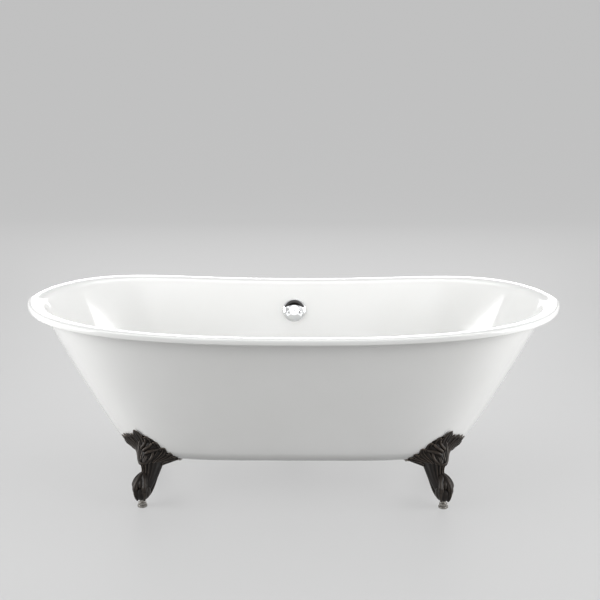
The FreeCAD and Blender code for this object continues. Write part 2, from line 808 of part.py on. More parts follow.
def stopper_sleeve():
    """A blind tube under the cap that slides down over the post."""
    low = hub_top + stopper_lift + stop_gap
    body = cylinder(sleeve_radius, low, cap_foot)
    return body.cut(cylinder(post_radius + running_gap, low - 1, cap_foot - sleeve_roof))


def stopper_seal():
    return ring(seal_radius, sleeve_radius + sleeve_gap, cap_foot - seal_thickness, cap_foot)


def stopper_cap():
    """A shallow dome with a rolled edge that hides the seal."""
    edge, low, high = stopper_radius, cap_foot, cap_foot + stopper_dome
    return revolve([
        (0, low), (edge - 0.8, low), (edge, low + 1), (edge, low + 2.4), (0.9 * edge, low + 3.8),
        (0.7 * edge, high - 1.0), (0.4 * edge, high - 0.25), (0, high),
    ])


# ------------------------------------------------------------------ assembly


def tub_shell():
    """The casting with its overflow and drain holes and the four bosses for the studs."""
    casting = shell_casting()
    stud = from_foot(-lug_reach, 0)
    for _, flip_x, flip_y in corners:
        boss = cylinder(boss_radius, lug_top, underside_height + 4, stud.x, stud.y)
        casting = casting.fuse(at_corner(boss, flip_x, flip_y))
    for _, flip_x, flip_y in corners:
        hole = cylinder(stud_radius, lug_top - 1, underside_height + stud_bite, stud.x, stud.y)
        casting = casting.cut(at_corner(hole, flip_x, flip_y))
    casting = casting.cut(on_outside(cylinder(overflow_hole_radius, -60, 60)))
    return casting.cut(cylinder(drain_hole_radius, lug_top, bath_floor + 10))


def main():
    os.makedirs("parts", exist_ok=True)
    save("tub_shell", tub_shell())
    casting = foot()
    screw = leveller_screw()
    pad = leveller_pad()
    for name, flip_x, flip_y in corners:
        save("foot_" + name, at_corner(casting, flip_x, flip_y))
        save("leveller_screw_" + name, at_corner(screw, flip_x, flip_y))
        save("leveller_pad_" + name, at_corner(pad, flip_x, flip_y))
    for name, piece in (
        ("foot_studs", foot_stud()), ("foot_washers", foot_washer()), ("foot_nuts", foot_nut())
    ):
        save(name, *[at_corner(piece, flip_x, flip_y) for _, flip_x, flip_y in corners])
    save("overflow_faceplate", faceplate())
    save("overflow_screws", overflow_screw(-0.5), overflow_screw(0.5))
    save("overflow_gasket", overflow_gasket())
    save("overflow_elbow", overflow_elbow())
    save("overflow_riser", riser())
    save("waste_tee", tee())
    save("shoe_tube", shoe_tube())
    save("tailpiece", tailpiece())
    save("slip_nuts", *[moved(slip_nut(), place, turned) for place, turned in slip_places])
    save("slip_washers", *[moved(slip_washer(), place, turned) for place, turned in slip_places])
    save("drain_flange", drain_flange())
    save("drain_gasket", drain_gasket())
    save("drain_shoe", drain_shoe())
    save("stopper_post", stopper_post())
    save("stopper_sleeve", stopper_sleeve())
    save("stopper_seal", stopper_seal())
    save("stopper_cap", stopper_cap())


if __name__ == "__main__":
    main()
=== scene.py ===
"""The looks of a double-ended clawfoot bathtub: enamelled iron shell, sculpted bronzed feet, plated
levellers and a chrome waste and overflow, on a pale floor under soft studio light.

Metres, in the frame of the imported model: +X along the tub, -Y to the camera, +Z up.
"""

import json
import math

import bmesh
import bpy
import numpy as np
from mathutils import Matrix, Vector
from mathutils.bvhtree import BVHTree


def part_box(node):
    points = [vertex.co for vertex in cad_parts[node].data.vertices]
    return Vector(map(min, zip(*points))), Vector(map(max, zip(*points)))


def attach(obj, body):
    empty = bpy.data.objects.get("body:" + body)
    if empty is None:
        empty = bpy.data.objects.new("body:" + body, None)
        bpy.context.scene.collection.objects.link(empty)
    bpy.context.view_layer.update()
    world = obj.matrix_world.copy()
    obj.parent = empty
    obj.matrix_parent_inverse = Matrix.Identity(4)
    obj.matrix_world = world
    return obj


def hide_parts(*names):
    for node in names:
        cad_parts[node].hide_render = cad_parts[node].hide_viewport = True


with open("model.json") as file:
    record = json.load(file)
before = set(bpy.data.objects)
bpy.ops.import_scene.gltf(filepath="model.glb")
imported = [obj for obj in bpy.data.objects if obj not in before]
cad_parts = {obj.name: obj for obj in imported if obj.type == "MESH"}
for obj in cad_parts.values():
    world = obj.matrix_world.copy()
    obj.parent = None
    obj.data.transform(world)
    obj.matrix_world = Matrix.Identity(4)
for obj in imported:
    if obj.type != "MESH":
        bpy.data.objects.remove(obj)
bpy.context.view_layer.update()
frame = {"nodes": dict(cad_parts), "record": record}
nodes = frame["nodes"]

MM = 0.001

# ------------------------------------------------------------------ values

# Foot, in millimetres in its own frame: out from the leveller axis, sideways to mid-length, up
FOOT_TURN = math.radians(48.0)  # from +X to the way out at the back right foot
VOXEL = 1.15                    # finest detail of the sculpted feet
CORNERS = {"back_right": (1, 1), "back_left": (-1, 1), "front_right": (1, -1), "front_left": (-1, -1)}

# Camera
EYE = Vector((0.0272, -3.5, 1.5445))
PITCH = 0.2543
YAW = -0.00185
ROLL = 0.00328
FOCAL_PIXELS = 1111.0
PICTURE_PIXELS = 600.0
SENSOR_WIDTH = 36.0

# Lamps, in metres: place, what it faces, width, height, power
LAMPS = {
    "top_softbox": ((0.0, 0.3, 3.4), (0, 0.1, 0.5), 3.2, 2.0, 38.0),
    "left_softbox": ((-3.6, -1.2, 1.3), (-0.5, 0, 0.4), 3.2, 2.5, 156.0),
    "right_softbox": ((3.6, -1.2, 1.3), (0.5, 0, 0.4), 3.2, 2.5, 156.0),
    "front_fill": ((0.0, -4.6, 2.1), (0, 0, 0.4), 3.0, 2.4, 17.0),
    "back_softbox": ((0.0, 4.4, 1.4), (0, 0, 0.2), 4.0, 1.2, 60.0),
}

# ------------------------------------------------------------------ node helpers


class Nodes:
    """Short hand for building a material's node tree."""

    def __init__(self, tree):
        self.tree = tree

    def add(self, kind, **values):
        node = self.tree.nodes.new(kind)
        for key, value in values.items():
            setattr(node, key, value)
        return node

    def link(self, source, target):
        self.tree.links.new(source, target)

    def noise(self, scale, detail, roughness=0.5, stretch=(1, 1, 1)):
        """Noise in object coordinates, as a 0 to 1 value."""
        place = self.add("ShaderNodeTexCoord")
        mapping = self.add("ShaderNodeMapping")
        mapping.inputs["Scale"].default_value = stretch
        self.link(place.outputs["Object"], mapping.inputs["Vector"])
        noise = self.add("ShaderNodeTexNoise")
        noise.inputs["Scale"].default_value = scale
        noise.inputs["Detail"].default_value = detail
        noise.inputs["Roughness"].default_value = roughness
        self.link(mapping.outputs["Vector"], noise.inputs["Vector"])
        return noise.outputs["Fac"]

    def remap(self, value, low, high, new_low, new_high):
        node = self.add("ShaderNodeMapRange")
        node.inputs["From Min"].default_value = low
        node.inputs["From Max"].default_value = high
        node.inputs["To Min"].default_value = new_low
        node.inputs["To Max"].default_value = new_high
        self.link(value, node.inputs["Value"])
        return node.outputs["Result"]

    def mix_colour(self, factor, first, second):
        node = self.add("ShaderNodeMix", data_type="RGBA")
        for socket, colour in ((6, first), (7, second)):
            if isinstance(colour, tuple):
                node.inputs[socket].default_value = (*colour, 1.0)
            else:
                self.link(colour, node.inputs[socket])
        self.link(factor, node.inputs[0])
        return node.outputs[2]

    def math(self, operation, first, second):
        node = self.add("ShaderNodeMath", operation=operation)
        for socket, value in ((0, first), (1, second)):
            if isinstance(value, float):
                node.inputs[socket].default_value = value
            else:
                self.link(value, node.inputs[socket])
        return node.outputs[0]

    def bump(self, height, distance, strength, under=None):
        node = self.add("ShaderNodeBump")
        node.inputs["Distance"].default_value = distance
        node.inputs["Strength"].default_value = strength
        self.link(height, node.inputs["Height"])
        if under is not None:
            self.link(under, node.inputs["Normal"])
        return node.outputs["Normal"]


def new_material(name):
    material = bpy.data.materials.new(name)
    material.use_nodes = True
    shader = material.node_tree.nodes["Principled BSDF"]
    return material, Nodes(material.node_tree), shader


# Distances in metres over which the painted shade round the overflow's plate fades out
PLATE_SHADE_EDGE = (0.036, 0.037)      # from the middle of the overflow's plate, just inside its edge


def near_plate(n, geometry):
    """1 near the middle of the overflow's plate, and 0 past the edge of the painted shade under it."""
    low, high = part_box("overflow_faceplate")
    away = n.add("ShaderNodeVectorMath", operation="DISTANCE")
    away.inputs[1].default_value = (low + high) / 2
    n.link(geometry.outputs["Position"], away.inputs[0])
    return n.remap(away.outputs["Value"], *PLATE_SHADE_EDGE, 1.0, 0.0)


def enamel():
    """Porcelain enamel: wet gloss inside the bath, a little softer outside, faintly wavy. Round the
    overflow hole, under its plate, the colour is near black: painted shade for the deep shadow behind
    the plate, over bare iron."""
    material, n, shader = new_material("white_enamel")
    cloud = n.noise(2.2, 4.0)
    colour = n.mix_colour(n.remap(cloud, 0.35, 0.65, 0.0, 1.0), (0.84, 0.84, 0.825), (0.87, 0.87, 0.86))
    geometry = n.add("ShaderNodeNewGeometry")
    # Near black under the overflow's plate: painted shade for the deep shadow behind it, over bare
    # iron.
    plate_shade = near_plate(n, geometry)
    n.link(n.mix_colour(plate_shade, colour, (0.03, 0.028, 0.026)), shader.inputs["Base Color"])
    # Outside is where the normal points away from the tub's middle
    flat = n.add("ShaderNodeVectorMath", operation="MULTIPLY")
    flat.inputs[1].default_value = (0.35, 1.0, 0.0)
    n.link(geometry.outputs["Position"], flat.inputs[0])
    facing = n.add("ShaderNodeVectorMath", operation="DOT_PRODUCT")
    n.link(flat.outputs["Vector"], facing.inputs[0])
    n.link(geometry.outputs["Normal"], facing.inputs[1])
    outside = n.remap(facing.outputs["Value"], -0.02, 0.02, 0.0, 1.0)
    smear = n.remap(n.noise(9.0, 5.0, 0.6), 0.3, 0.7, -0.015, 0.02)
    gloss = n.remap(outside, 0.0, 1.0, 0.09, 0.17)
    n.link(n.math("ADD", gloss, smear), shader.inputs["Roughness"])
    ripple = n.bump(n.noise(14.0, 2.0, 0.4), 0.0012, 0.12)
    peel = n.bump(n.noise(260.0, 2.0, 0.5), 0.0001, 0.25, ripple)
    n.link(peel, shader.inputs["Normal"])
    shader.inputs["IOR"].default_value = 1.52
    shader.inputs["Coat Weight"].default_value = 0.35
    shader.inputs["Coat Roughness"].default_value = 0.04
    return material


def bronzed_iron():
    """Oil-rubbed bronze finish: nearly black, with its reflection weakened in the hollows as painted
    shade, and warm brown on the worn ridges.
    """
    material, n, shader = new_material("bronzed_iron")
    geometry = n.add("ShaderNodeNewGeometry")
    edge = n.remap(geometry.outputs["Pointiness"], 0.503, 0.57, 0.0, 1.0)
    patch = n.remap(n.noise(45.0, 5.0, 0.65), 0.35, 0.7, 0.3, 1.0)
    wear = n.math("MULTIPLY", edge, patch)
    tone = n.mix_colour(n.remap(n.noise(18.0, 4.0), 0.3, 0.7, 0.0, 1.0),
                        (0.006, 0.005, 0.0045), (0.012, 0.0095, 0.008))
    n.link(n.mix_colour(wear, tone, (0.20, 0.155, 0.12)), shader.inputs["Base Color"])
    n.link(n.math("MULTIPLY", wear, 0.8), shader.inputs["Metallic"])
    rough = n.remap(n.noise(120.0, 4.0, 0.6), 0.3, 0.7, 0.30, 0.44)
    n.link(n.math("SUBTRACT", rough, n.math("MULTIPLY", wear, 0.1)), shader.inputs["Roughness"])
    cast = n.bump(n.noise(420.0, 4.0, 0.6), 0.0003, 0.35)
    n.link(n.bump(n.noise(95.0, 3.0, 0.5), 0.0008, 0.3, cast), shader.inputs["Normal"])
    # Weaker reflection in the hollows, from Pointiness: painted shade.
    hollow = n.remap(geometry.outputs["Pointiness"], 0.46, 0.53, 0.02, 0.28)
    n.link(hollow, shader.inputs["Specular IOR Level"])
    return material


def chrome(name, painted_shade_mouth=False):
    """Polished chrome. Where it is shut in, its colour is darkened as painted shade with some tarnish,
    and it is rougher. The seams where pieces meet are darkened as painted shade. A painted shade mouth
    darkens the end of the overflow behind its plate, as painted shade with some tarnish."""
    material, n, shader = new_material(name)
    film = n.remap(n.noise(30.0, 4.0, 0.6), 0.35, 0.7, 0.0, 1.0)
    polished = n.mix_colour(film, (0.90, 0.91, 0.92), (0.84, 0.85, 0.86))

    def enclosed(distance, low, high):
        """1 where things stand nearer than the distance all round, 0 in the open."""
        room = n.add("ShaderNodeAmbientOcclusion", samples=8)
        room.inputs["Distance"].default_value = distance
        return n.remap(room.outputs["AO"], low, high, 1.0, 0.0)

    # Painted shade where the chrome is shut in: its colour goes near black there, for shade as well as
    # tarnish, and it also turns rougher.
    recess_shade_and_tarnish = enclosed(0.03, 0.3, 0.65)
    # Painted shade in the seams where pieces meet.
    seam_shade = n.math("MULTIPLY", enclosed(0.0045, 0.5, 0.88), 0.9)
    if painted_shade_mouth:
        # Painted shade on the inward faces of the overflow's end, behind its plate.
        geometry = n.add("ShaderNodeNewGeometry")
        side = n.add("ShaderNodeSeparateXYZ")
        n.link(geometry.outputs["Normal"], side.inputs[0])
        inward = n.remap(side.outputs["Y"], -0.5, -0.2, 1.0, 0.0)
        recess_shade_and_tarnish = n.math("MAXIMUM", recess_shade_and_tarnish, n.math("MULTIPLY", inward, near_plate(n, geometry)))
    # Near black colour wherever the painted shade masks are high.
    dark = n.math("MAXIMUM", recess_shade_and_tarnish, seam_shade)
    n.link(n.mix_colour(dark, polished, (0.025, 0.024, 0.022)), shader.inputs["Base Color"])
    dull = n.math("MULTIPLY", recess_shade_and_tarnish, 0.5)
    n.link(n.math("ADD", n.remap(film, 0.0, 1.0, 0.05, 0.12), dull), shader.inputs["Roughness"])
    n.link(n.bump(n.noise(60.0, 2.0), 0.0002, 0.05), shader.inputs["Normal"])
    shader.inputs["Metallic"].default_value = 1.0
    return material


def plated_steel():
    """Dull zinc-plated steel with turning marks and dark patches."""
    material, n, shader = new_material("plated_steel")
    patch = n.remap(n.noise(160.0, 5.0, 0.65), 0.35, 0.7, 0.0, 1.0)
    n.link(n.mix_colour(patch, (0.34, 0.33, 0.31), (0.18, 0.165, 0.15)), shader.inputs["Base Color"])
    turned = n.noise(30.0, 3.0, 0.6, (1.0, 1.0, 60.0))
    n.link(n.remap(turned, 0.3, 0.7, 0.28, 0.48), shader.inputs["Roughness"])
    n.link(n.bump(turned, 0.0002, 0.3), shader.inputs["Normal"])
    shader.inputs["Metallic"].default_value = 1.0
    return material


def rubber():
    material, n, shader = new_material("black_rubber")
    bloom = n.remap(n.noise(150.0, 4.0, 0.6), 0.4, 0.7, 0.0, 1.0)
    n.link(n.mix_colour(bloom, (0.022, 0.022, 0.022), (0.045, 0.044, 0.042)),
           shader.inputs["Base Color"])
    n.link(n.remap(bloom, 0.0, 1.0, 0.55, 0.75), shader.inputs["Roughness"])
    n.link(n.bump(n.noise(700.0, 2.0), 0.0001, 0.3), shader.inputs["Normal"])
    return material


MATERIALS = {
    "enamelled_iron": enamel(), "bronzed_iron": bronzed_iron(), "chrome": chrome("polished_chrome"),
    "plated_steel": plated_steel(), "black_rubber": rubber(),
    "elbow_chrome": chrome("elbow_chrome", painted_shade_mouth=True),
}


def dress(piece, slot):
    """Gives a piece the material of a slot."""
    piece.data.materials.clear()
    piece.data.materials.append(MATERIALS[slot])


for part in frame["record"]["subparts"]:
    dress(nodes[part["node"]], part["material_slot"])
dress(nodes["overflow_elbow"], "elbow_chrome")

# ------------------------------------------------------------------ sculpting helpers


def smooth_rows(rows, steps):
    """Rows of numbers on a smooth curve through the given rows."""
    p = np.array(rows, float)
    p = np.vstack([2 * p[0] - p[1], p, 2 * p[-1] - p[-2]])
    out = []
    for i in range(1, len(p) - 2):
        for t in np.linspace(0, 1, steps, endpoint=False):
            a = 2 * p[i]
            b = p[i + 1] - p[i - 1]
            c = 2 * p[i - 1] - 5 * p[i] + 4 * p[i + 1] - p[i + 2]
            d = 3 * p[i] - p[i - 1] - 3 * p[i + 1] + p[i + 2]
            out.append(0.5 * (a + b * t + c * t * t + d * t ** 3))
    out.append(p[-2])
    return np.array(out)


def rounded_ends(samples):
    """The same rows with their ends closed down to round tips."""
    steps = np.linalg.norm(np.diff(samples[:, :3], axis=0), axis=1)
    along = np.concatenate([[0.0], np.cumsum(steps)])
    from_end = np.minimum(along, along[-1] - along)
    share = np.clip(from_end / np.maximum(samples[:, 4], 0.5), 0.0, 1.0)
    tip = np.sqrt(np.clip(1.0 - (1.0 - share) ** 2, 0.03, 1.0))
    samples[:, 3] *= tip
    samples[:, 4] *= tip
    return samples


def limb(bm, rows, up, steps, around, relief=None, round_tips=False):
    """A closed bar along rows of (x, y, z, half width, half thickness). up(point) is the side
    that the thickness faces, and relief(angle, share) scales its outline."""
    samples = smooth_rows(rows, steps)
    if round_tips:
        samples = rounded_ends(samples)
    rings = []
    count = len(samples)
    for i, row in enumerate(samples):
        point = Vector(row[:3])
        ahead = Vector(samples[min(i + 1, count - 1)][:3]) - Vector(samples[max(i - 1, 0)][:3])
        ahead.normalize()
        across = up(point).cross(ahead).normalized()
        thick = ahead.cross(across).normalized()
        ring = []
        for k in range(around):
            angle = 2 * math.pi * k / around
            scale = relief(angle, i / (count - 1)) if relief else 1.0
            offset = across * (row[3] * math.cos(angle)) + thick * (row[4] * math.sin(angle))
            ring.append(bm.verts.new(point + offset * scale))
        rings.append(ring)
    for first, second in zip(rings, rings[1:]):
        for k in range(around):
            bm.faces.new((first[k], first[(k + 1) % around], second[(k + 1) % around], second[k]))
    bm.faces.new(rings[0][::-1])
    bm.faces.new(rings[-1])


def ball(bm, centre, radius):
    matrix = Matrix.Translation(centre)
    bmesh.ops.create_icosphere(bm, subdivisions=4, radius=radius, matrix=matrix)


def modified(piece, build):
    """Applies the modifiers that build adds to the piece."""
    build(piece)
    graph = bpy.context.evaluated_depsgraph_get()
    mesh = bpy.data.meshes.new_from_object(piece.evaluated_get(graph))
    piece.modifiers.clear()
    old = piece.data
    piece.data = mesh
    bpy.data.meshes.remove(old)


def new_piece(name, bm_or_mesh):
    if isinstance(bm_or_mesh, bmesh.types.BMesh):
        mesh = bpy.data.meshes.new(name)
        bmesh.ops.recalc_face_normals(bm_or_mesh, faces=bm_or_mesh.faces)
        bm_or_mesh.to_mesh(mesh)
        bm_or_mesh.free()
    else:
        mesh = bm_or_mesh
    piece = bpy.data.objects.new(name, mesh)
    bpy.context.scene.collection.objects.link(piece)
    return piece


# ------------------------------------------------------------------ the tub's wall, for the feet

pad_low, pad_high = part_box("leveller_pad_back_right")
FOOT_X = (pad_low.x + pad_high.x) / 2
FOOT_Y = (pad_low.y + pad_high.y) / 2
OUT = Vector((math.cos(FOOT_TURN), math.sin(FOOT_TURN), 0))
SIDE = Vector((-math.sin(FOOT_TURN), math.cos(FOOT_TURN), 0))
shell_tree = BVHTree.FromPolygons([v.co[:] for v in nodes["tub_shell"].data.vertices],
                                  [p.vertices[:] for p in nodes["tub_shell"].data.polygons])


def to_world(point):
    """A point of the foot's frame, in millimetres, in the tub's frame, in metres."""
    flat = Vector((FOOT_X, FOOT_Y, 0)) + (OUT * point[0] + SIDE * point[1]) * MM
    return Vector((flat.x, flat.y, point[2] * MM))


RAY_START = 160.0               # where the rays to the wall start, in millimetres out
RAY_LENGTH = 0.4                # in metres


def wall_out(side, z):
    """How far out the tub's outer wall is, in the foot's frame."""
    hit = shell_tree.ray_cast(to_world((RAY_START, side, z)), -OUT, RAY_LENGTH)[0]
    return (hit - Vector((FOOT_X, FOOT_Y, hit.z))).dot(OUT) / MM


# ------------------------------------------------------------------ feet

KNEE_MIDDLE = -48.0
KNEE_DEPTH = 50.0
KNEE_WIDTH = 29.0
LEAF_CENTRE = Vector((-105.0, -12.0, 165.0))    # the leaf bulges away from this point

# Leg: out, sideways, height, half width, half depth
LEG = (
    (-8, 0, 40, 14, 17), (-14, 0, 58, 15.5, 21), (-24, 0, 78, 16.5, 27.5), (-35, 0, 98, 17.5, 33),
    (-43.5, 0, 120, 19.5, 40), (-48.5, 0, 142, 24.5, 47.5), (-53, -2, 166, 33, 49),
    (-56, -6, 190, 39, 43), (-58, -10, 214, 38, 34),
)

# Leaf plate: direction from its root in degrees (0 is up, + is to mid-length), and how far it goes
LEAF_ROOT = (-6.0, 150.0)
LEAF_EDGE = (
    (-96, 66), (-86, 92), (-80, 108), (-72, 119), (-64, 127), (-58, 124), (-50, 116), (-42, 109),
    (-34, 100), (-25, 90), (-18, 100), (-11, 107), (-4, 95), (4, 88), (14, 83), (28, 77), (44, 72),
    (58, 70), (72, 71), (84, 73), (93, 64),
)
PLATE = 4.5                      # thickness of the plate under the lobes
PLATE_THINNING = 0.55            # share of it that is gone at the plate's edge
PLATE_BACK = 3.0                 # how far its back lies inside the wall, before the seat is cut
PLATE_RINGS = 26
WALL_LOW = 146.0                 # lower parts of the plate take the wall's place at this height
SCALLOP_DEPTH = 1.8
SCALLOP_START = 7
SCALLOP_RATE = 12.8
KNEE_COVER = 1.5                 # how far the plate stands off the leg
BLEND = 9.0                      # softness of the change from the wall to the leg
FLANK_FALL = 1.6                 # how steeply the leg's surface falls away past its flanks

# Lobes: tip side, tip height, direction of the root round the knee, width, lift off the wall
LOBES = (
    (-100, 170, -100, 0.9, 3.0), (-115, 190, -86, 1.0, 3.0), (-112, 212, -72, 1.0, 3.5),
    (-92, 224, -58, 1.0, 4.0), (-70, 232, -44, 1.0, 4.0), (-48, 238, -28, 0.9, 4.0),
    (62, 158, 92, 0.9, 3.0), (58, 176, 78, 0.9, 3.0), (44, 197, 64, 1.0, 3.5),
    (25, 217, 46, 1.0, 4.0), (3, 235, 24, 1.0, 4.5), (-26, 256, -4, 1.25, 6.0),
)
LOBE_WIDTHS = ((0.0, 5.0), (0.2, 8.0), (0.45, 12.0), (0.7, 13.5), (0.86, 12.5), (0.95, 9.0), (1.0, 3.0))
LOBE_CURL = 2.5                  # how far a lobe's tip turns away from the wall


def leaf_up(point):
    return (Vector(point) - LEAF_CENTRE).normalized()


def lobe_relief(angle, share):
    """Ridges along a lobe's face: a middle vein between two hollows, and raised edges."""
    if math.sin(angle) <= 0:
        return 1.0
    across = math.cos(angle)
    fade = min(1.0, 5 * share, 6 * (1.02 - share))
    return 1.0 + fade * math.sin(angle) * (0.34 * math.cos(3.0 * math.pi * across) - 0.1)


def lobe(bm, tip_side, tip_z, spread, scale, lift):
    """One lobe of the leaf, from the knee to its curled tip on the tub's wall."""
    angle = math.radians(spread)
    start = Vector((KNEE_MIDDLE + KNEE_DEPTH * math.cos(angle), KNEE_WIDTH * math.sin(angle),
                    152.0 - 2.0 * math.cos(angle)))
    rows = []
    for share in np.linspace(0, 1, 9):
        side = start.y + (tip_side - start.y) * share ** 0.85
        z = start.z + (tip_z - start.z) * share
        seat = wall_out(side, max(z, LEAF_ROOT[1]))
        ease = min(1.0, 1.25 * share)
        ease = ease * ease * (3 - 2 * ease)
        curl = lift + LOBE_CURL * (max(0.0, share - 0.7) / 0.3) ** 1.5
        out = start.x + (seat + curl - start.x) * ease
        width = scale * np.interp(share, [w[0] for w in LOBE_WIDTHS], [w[1] for w in LOBE_WIDTHS])
        rows.append((out, side, z, width, 5.0 - 1.4 * share - 2.0 * max(0.0, share - 0.85) / 0.15))
    limb(bm, rows, leaf_up, steps=5, around=36, relief=lobe_relief)


def leg_out(side, z):
    """How far out the leg's own surface is. Past its flanks it falls away behind the wall."""
    heights = [row[2] for row in LEG]
    middle, shift, half_width, half_depth = (
        np.interp(z, heights, [row[k] for row in LEG]) for k in (0, 1, 3, 4))
    share = abs(side - shift) / half_width
    round_part = math.sqrt(max(0.0, 1 - share * share))
    return middle + half_depth * (round_part - FLANK_FALL * max(0.0, share - 1))


def plate_out(side, z, share):
    """How far out the leaf plate's face is: over the wall, blended into the knee."""
    wall_face = wall_out(side, max(z, WALL_LOW)) + PLATE * (1.0 - PLATE_THINNING * share ** 4)
    knee = leg_out(side, z) + KNEE_COVER
    mean = (wall_face + knee) / 2
    return mean + math.sqrt(((wall_face - knee) / 2) ** 2 + (BLEND / 2) ** 2) - BLEND / 2


def leaf_plate(bm):
    """The plate behind the lobes: a fan on the wall with a scalloped edge."""
    edge = smooth_rows(LEAF_EDGE, 6)
    front, back = [], []
    for degrees, reach in edge:
        angle = math.radians(degrees)
        wave = math.sin(math.radians(degrees - SCALLOP_START) * SCALLOP_RATE)
        scallop = SCALLOP_DEPTH * abs(wave)
        row_front, row_back = [], []
        for k in range(1, PLATE_RINGS + 1):
            share = k / PLATE_RINGS
            side = LEAF_ROOT[0] + (reach - scallop) * share * math.sin(angle)
            z = LEAF_ROOT[1] + (reach - scallop) * share * math.cos(angle)
            out = plate_out(side, z, share)
            row_front.append(bm.verts.new((out, side, z)))
            row_back.append(bm.verts.new((wall_out(side, max(z, WALL_LOW)) - PLATE_BACK, side, z)))
        front.append(row_front)
        back.append(row_back)
    middle = bm.verts.new((plate_out(*LEAF_ROOT, 0.0), *LEAF_ROOT))
    middle_back = bm.verts.new((wall_out(*LEAF_ROOT) - PLATE_BACK, *LEAF_ROOT))
    last = len(edge) - 1
    for i in range(last):
        bm.faces.new((middle, front[i][0], front[i + 1][0]))
        bm.faces.new((middle_back, back[i + 1][0], back[i][0]))
        for k in range(PLATE_RINGS - 1):
            bm.faces.new((front[i][k], front[i][k + 1], front[i + 1][k + 1], front[i + 1][k]))
            bm.faces.new((back[i][k], back[i + 1][k], back[i + 1][k + 1], back[i][k + 1]))
        bm.faces.new((front[i][-1], back[i][-1], back[i + 1][-1], front[i + 1][-1]))
    for i in (0, last):
        bm.faces.new((middle, middle_back, back[i][0], front[i][0]))
        for k in range(PLATE_RINGS - 1):
            bm.faces.new((front[i][k], back[i][k], back[i][k + 1], front[i][k + 1]))


def leg_relief(angle, share):
    """Upright flutes round the front of the leg, and a hollow in each flank."""
    ahead = math.sin(angle)
    middle = max(0.0, 1.0 - ((share - 0.5) / 0.24) ** 2)
    flutes = 0.065 * max(0.0, ahead + 0.25) * middle ** 0.5 * math.cos(18 * angle)
    hollow = 0.13 * middle * math.exp(-((ahead + 0.35) / 0.3) ** 2)
    return 1.0 + flutes - hollow


def leg(bm):
    limb(bm, LEG, lambda p: Vector((1, 0, 0)), steps=6, around=120, relief=leg_relief)


BALL_CENTRE = (0, 0, 51)
BALL_RADIUS = 28.0

# Talons: distance from the ball's axis, height, half width, half thickness
TALON = (
    (2, 113, 5.0, 5.0), (8, 107, 7.5, 7.0), (14.5, 99, 9.0, 8.5), (20.5, 90, 9.0, 8.8),
    (25, 81, 8.6, 8.6), (26.5, 72, 9.2, 8.8), (26.5, 62, 7.4, 7.2), (26.5, 53, 7.6, 7.4),
    (25, 43, 6.0, 6.2), (22.5, 34, 4.8, 5.0), (19.5, 27, 2.4, 2.8), (18, 25, 1.0, 1.2),
)
HEEL = (
    (90, 148, 9, 9), (82, 134, 11, 11), (73, 117, 12, 12), (63, 100, 12, 11.5), (53.5, 83, 11.5, 11),
    (45.5, 66, 11, 10.5), (38, 50, 9.5, 9.5), (31, 37, 7.2, 7.2), (25, 28, 4, 4), (22, 25, 1.5, 1.5),
)
TALON_ANGLES = (-68.0, 0.0, 68.0)
WEB_ANGLES = (-34.0, 34.0)
DRAWN_BACK = 9.0                 # how far the talons' roots lie back towards the leg
DRAW_LOW = 70.0                  # height where that starts
DRAW_HEIGHT = 43.0               # and how much higher it is whole


def claw_relief(angle, share):
    """A groove down each side of a talon's ridge."""
    return 1.0 - 0.12 * math.exp(-((abs(math.cos(angle)) - 0.62) / 0.16) ** 2) * min(1.0, 4 * share)


def talon(bm, rows, degrees, drawn_back):
    """One toe with its knuckles, closed down over the ball to a claw."""
    c, s = math.cos(math.radians(degrees)), math.sin(math.radians(degrees))
    path = []
    for distance, z, width, thick in rows:
        back = drawn_back * max(0.0, (z - DRAW_LOW) / DRAW_HEIGHT)
        path.append((distance * c - back, distance * s, z, width, thick))
    axis = Vector((0, 0, 1))
    limb(bm, path, lambda p: Vector((p.x + 8, p.y, 0)).normalized() + axis * 0.01, steps=6,
         around=32, relief=claw_relief)


def web(bm, degrees):
    """Skin between two toes at the ankle."""
    c, s = math.cos(math.radians(degrees)), math.sin(math.radians(degrees))
    rows = [(2 * c - 12, 2 * s, 110, 6, 6), (11 * c - 7, 11 * s, 99, 9, 7),
            (18 * c - 3, 18 * s, 89, 9, 7), (19 * c, 19 * s, 79, 7, 6), (17 * c, 17 * s, 70, 4, 4)]
    limb(bm, rows, lambda p: Vector((c, s, 0.01)), steps=5, around=16)


def on_leaf(rows, lift):
    """Rows of (side, height, half width, half thickness), laid on the leaf's face."""
    out = []
    for side, z, width, thick in rows:
        out.append((plate_out(side, z, 0.5) + lift, side, z, width, thick))
    return out


def strap(bm):
    """The turned-over loop at the front of the leaf, over the knee."""
    rows = (
        (-22, 214, 3.0, 3.0), (-20, 200, 4.0, 4.0), (-17, 184, 4.2, 4.4), (-12, 168, 4.4, 4.6),
        (-5, 157, 4.6, 4.8), (6, 151, 4.8, 5.0), (17, 153, 4.6, 4.8), (24, 162, 4.4, 4.6),
        (27, 175, 4.2, 4.4), (27, 187, 3.6, 3.8), (24, 195, 2.4, 2.6),
    )
    limb(bm, on_leaf(rows, 8.0), leaf_up, steps=8, around=24, round_tips=True)
    rows = (
        (-38, 205, 2.6, 2.6), (-34, 190, 3.6, 3.6), (-28, 174, 3.8, 4.0), (-20, 160, 4.0, 4.2),
        (-10, 150, 4.0, 4.2), (2, 145, 3.6, 3.8),
    )
    limb(bm, on_leaf(rows, 6.5), leaf_up, steps=8, around=24, round_tips=True)


